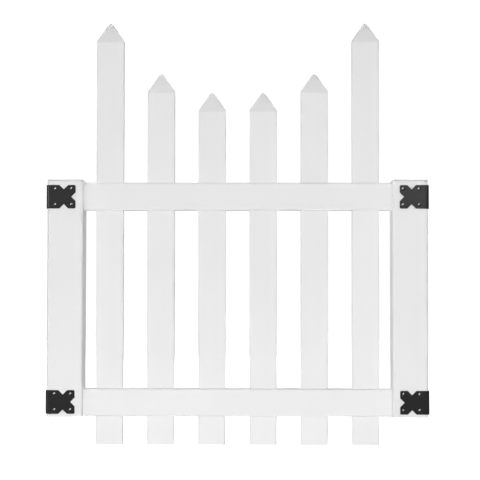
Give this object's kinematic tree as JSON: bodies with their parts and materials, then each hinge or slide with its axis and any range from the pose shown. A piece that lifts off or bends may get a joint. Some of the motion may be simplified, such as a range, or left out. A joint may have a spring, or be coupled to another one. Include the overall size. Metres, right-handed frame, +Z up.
{
  "type": "scalloped vinyl picket gate leaf",
  "caption": "White vinyl picket gate leaf: routed rails between square uprights carry pointed pickets whose tips form a concave scallop, with black wrap brackets at the rail ends.",
  "frame": {"origin": "centre of the outer face of the lower bracket on the left upright, taken as the hinge side, 3 mm above the bottom rail's centre line", "axes": "+X along the leaf from the hinge side to the latch side, +Y from front to back, +Z up"},
  "size_m": [1.098, 0.1076, 1.2205],
  "materials": {
    "white_vinyl": "smooth extruded vinyl with a soft sheen",
    "white_moulded": "smooth moulded vinyl",
    "black_coat": "black powder coat on steel"
  },
  "bodies": {
    "root": {"upright_left": "white_vinyl", "upright_right": "white_vinyl", "upright_cap_left": "white_moulded", "upright_cap_right": "white_moulded", "bottom_rail": "white_vinyl", "top_rail": "white_vinyl", "picket_1": "white_vinyl", "picket_2": "white_vinyl", "picket_3": "white_vinyl", "picket_4": "white_vinyl", "picket_5": "white_vinyl", "picket_6": "white_vinyl", "picket_cap_1": "white_moulded", "picket_cap_2": "white_moulded", "picket_cap_3": "white_moulded", "picket_cap_4": "white_moulded", "picket_cap_5": "white_moulded", "picket_cap_6": "white_moulded", "bracket_top_left": "black_coat", "bracket_top_right": "black_coat", "bracket_bottom_left": "black_coat", "bracket_bottom_right": "black_coat"}
  },
  "joints": []
}
